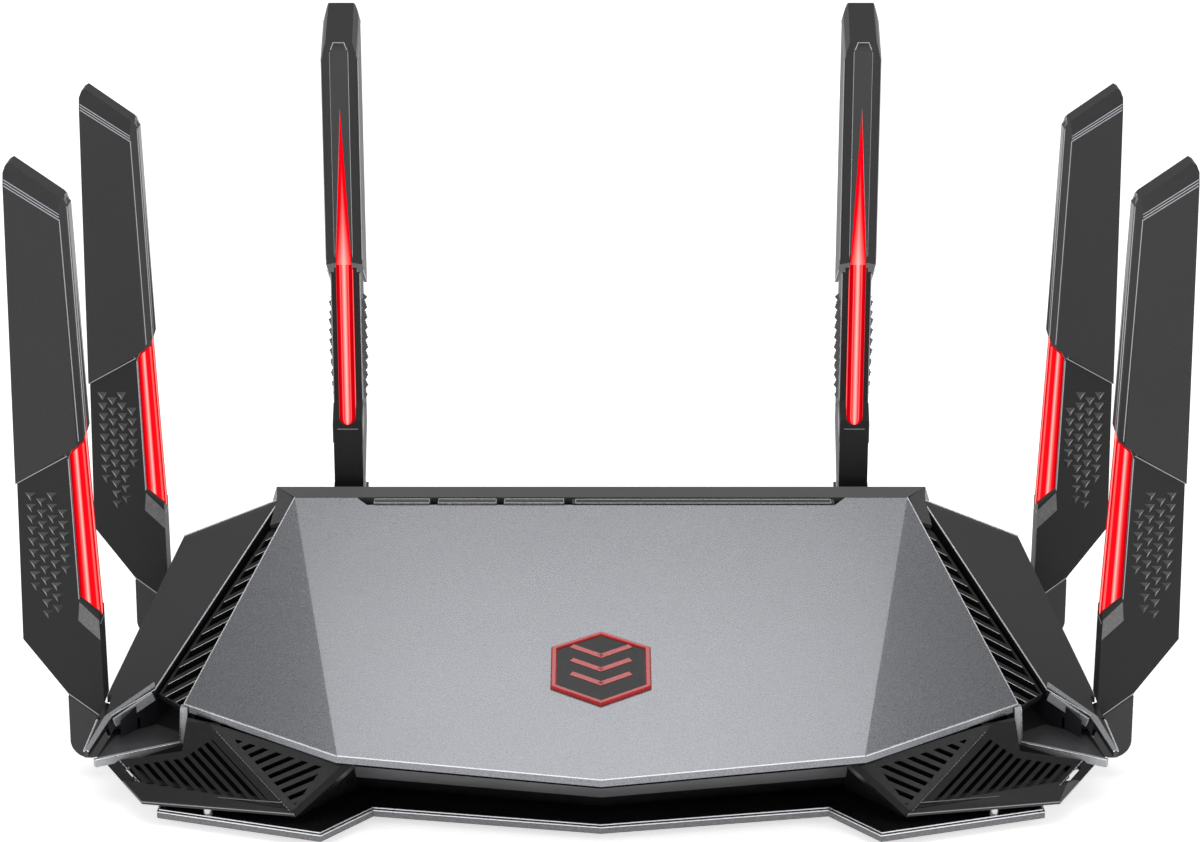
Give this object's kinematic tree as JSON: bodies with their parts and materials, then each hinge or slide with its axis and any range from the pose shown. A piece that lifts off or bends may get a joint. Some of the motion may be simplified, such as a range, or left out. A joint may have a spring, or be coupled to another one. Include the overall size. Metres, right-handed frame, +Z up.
{
  "type": "wireless router",
  "caption": "Low angular wireless router with a wedge-shaped faceted housing, slotted corner intakes and upright folding antennas with lit inner edges.",
  "frame": {"origin": "on the table plane, under the centre of the whole object's box with the antennas upright", "axes": "+Z up, +Y towards the rear sockets, +X to the right seen from the front"},
  "size_m": [0.2916, 0.1776, 0.1748],
  "materials": {
    "black_gloss": "gloss",
    "rubber": "matte",
    "steel": "satin",
    "black_satin": "satin",
    "charcoal": "satin",
    "cover_paint": "metallic satin",
    "badge_red": "gloss",
    "key_black": "satin",
    "circuit_board": "satin",
    "aluminium": "satin",
    "socket_black": "matte",
    "socket_steel": "satin",
    "antenna_black": "fine matte",
    "antenna_cap": "fine matte",
    "edge_trim": "gloss",
    "light_guide": "lit",
    "antenna_board": "satin"
  },
  "bodies": {
    "housing": {"base_plate": "black_gloss", "rubber_feet": "rubber", "case_screws": "steel", "spacers": "steel", "lower_case": "black_satin", "front_grille": "black_gloss", "mid_frame": "black_gloss", "wing_left": "charcoal", "wing_right": "charcoal", "top_cover": "cover_paint", "badge_bezel": "badge_red", "badge_lens": "black_gloss", "rear_crown": "black_gloss", "indicator_window": "black_gloss", "main_board": "circuit_board", "heatsink": "aluminium", "ethernet_jacks": "socket_black", "usb_port": "socket_steel", "dc_jack": "socket_black", "hinge_pins": "steel"},
    "right_front_antenna": {"right_front_hinge_arm": "antenna_black", "right_front_blade": "antenna_black", "right_front_cap": "antenna_cap", "right_front_edge_trim": "edge_trim", "right_front_light_guide": "light_guide", "right_front_board": "antenna_board"},
    "right_back_antenna": {"right_back_hinge_arm": "antenna_black", "right_back_blade": "antenna_black", "right_back_cap": "antenna_cap", "right_back_edge_trim": "edge_trim", "right_back_light_guide": "light_guide", "right_back_board": "antenna_board"},
    "left_front_antenna": {"left_front_hinge_arm": "antenna_black", "left_front_blade": "antenna_black", "left_front_cap": "antenna_cap", "left_front_edge_trim": "edge_trim", "left_front_light_guide": "light_guide", "left_front_board": "antenna_board"},
    "left_back_antenna": {"left_back_hinge_arm": "antenna_black", "left_back_blade": "antenna_black", "left_back_cap": "antenna_cap", "left_back_edge_trim": "edge_trim", "left_back_light_guide": "light_guide", "left_back_board": "antenna_board"},
    "rear_right_antenna": {"rear_right_hinge_arm": "antenna_black", "rear_right_blade": "antenna_black", "rear_right_cap": "antenna_cap", "rear_right_edge_trim": "edge_trim", "rear_right_light_guide": "light_guide", "rear_right_board": "antenna_board"},
    "rear_left_antenna": {"rear_left_hinge_arm": "antenna_black", "rear_left_blade": "antenna_black", "rear_left_cap": "antenna_cap", "rear_left_edge_trim": "edge_trim", "rear_left_light_guide": "light_guide", "rear_left_board": "antenna_board"},
    "button_left": {"button_left": "key_black"},
    "button_middle": {"button_middle": "key_black"},
    "button_right": {"button_right": "key_black"},
    "power_button": {"power_button": "key_black"}
  },
  "joints": [
    {"name": "right_front_fold", "type": "hinge", "parent": "housing", "child": "right_front_antenna", "pos_m": [0.1303, -0.0414, 0.0108], "axis": [0, 1, 0], "range_deg": [0, 75]},
    {"name": "right_back_fold", "type": "hinge", "parent": "housing", "child": "right_back_antenna", "pos_m": [0.1244, 0.0391, 0.0108], "axis": [0, 1, 0], "range_deg": [0, 75]},
    {"name": "left_front_fold", "type": "hinge", "parent": "housing", "child": "left_front_antenna", "pos_m": [-0.1303, -0.0414, 0.0108], "axis": [0, -1, 0], "range_deg": [0, 75]},
    {"name": "left_back_fold", "type": "hinge", "parent": "housing", "child": "left_back_antenna", "pos_m": [-0.1244, 0.0391, 0.0108], "axis": [0, -1, 0], "range_deg": [0, 75]},
    {"name": "rear_right_fold", "type": "hinge", "parent": "housing", "child": "rear_right_antenna", "pos_m": [0.0721, 0.0733, 0.024], "axis": [-1, 0, 0], "range_deg": [0, 90]},
    {"name": "rear_left_fold", "type": "hinge", "parent": "housing", "child": "rear_left_antenna", "pos_m": [-0.0721, 0.0733, 0.024], "axis": [-1, 0, 0], "range_deg": [0, 90]},
    {"name": "button_left_press", "type": "slide", "parent": "housing", "child": "button_left", "axis": [0, 0, -1], "range_m": [0, 0.0008], "stiffness_N_per_m": 400},
    {"name": "button_middle_press", "type": "slide", "parent": "housing", "child": "button_middle", "axis": [0, 0, -1], "range_m": [0, 0.0008], "stiffness_N_per_m": 400},
    {"name": "button_right_press", "type": "slide", "parent": "housing", "child": "button_right", "axis": [0, 0, -1], "range_m": [0, 0.0008], "stiffness_N_per_m": 400},
    {"name": "power_button_press", "type": "slide", "parent": "housing", "child": "power_button", "axis": [0, -1, 0], "range_m": [0, 0.0016], "stiffness_N_per_m": 400}
  ]
}
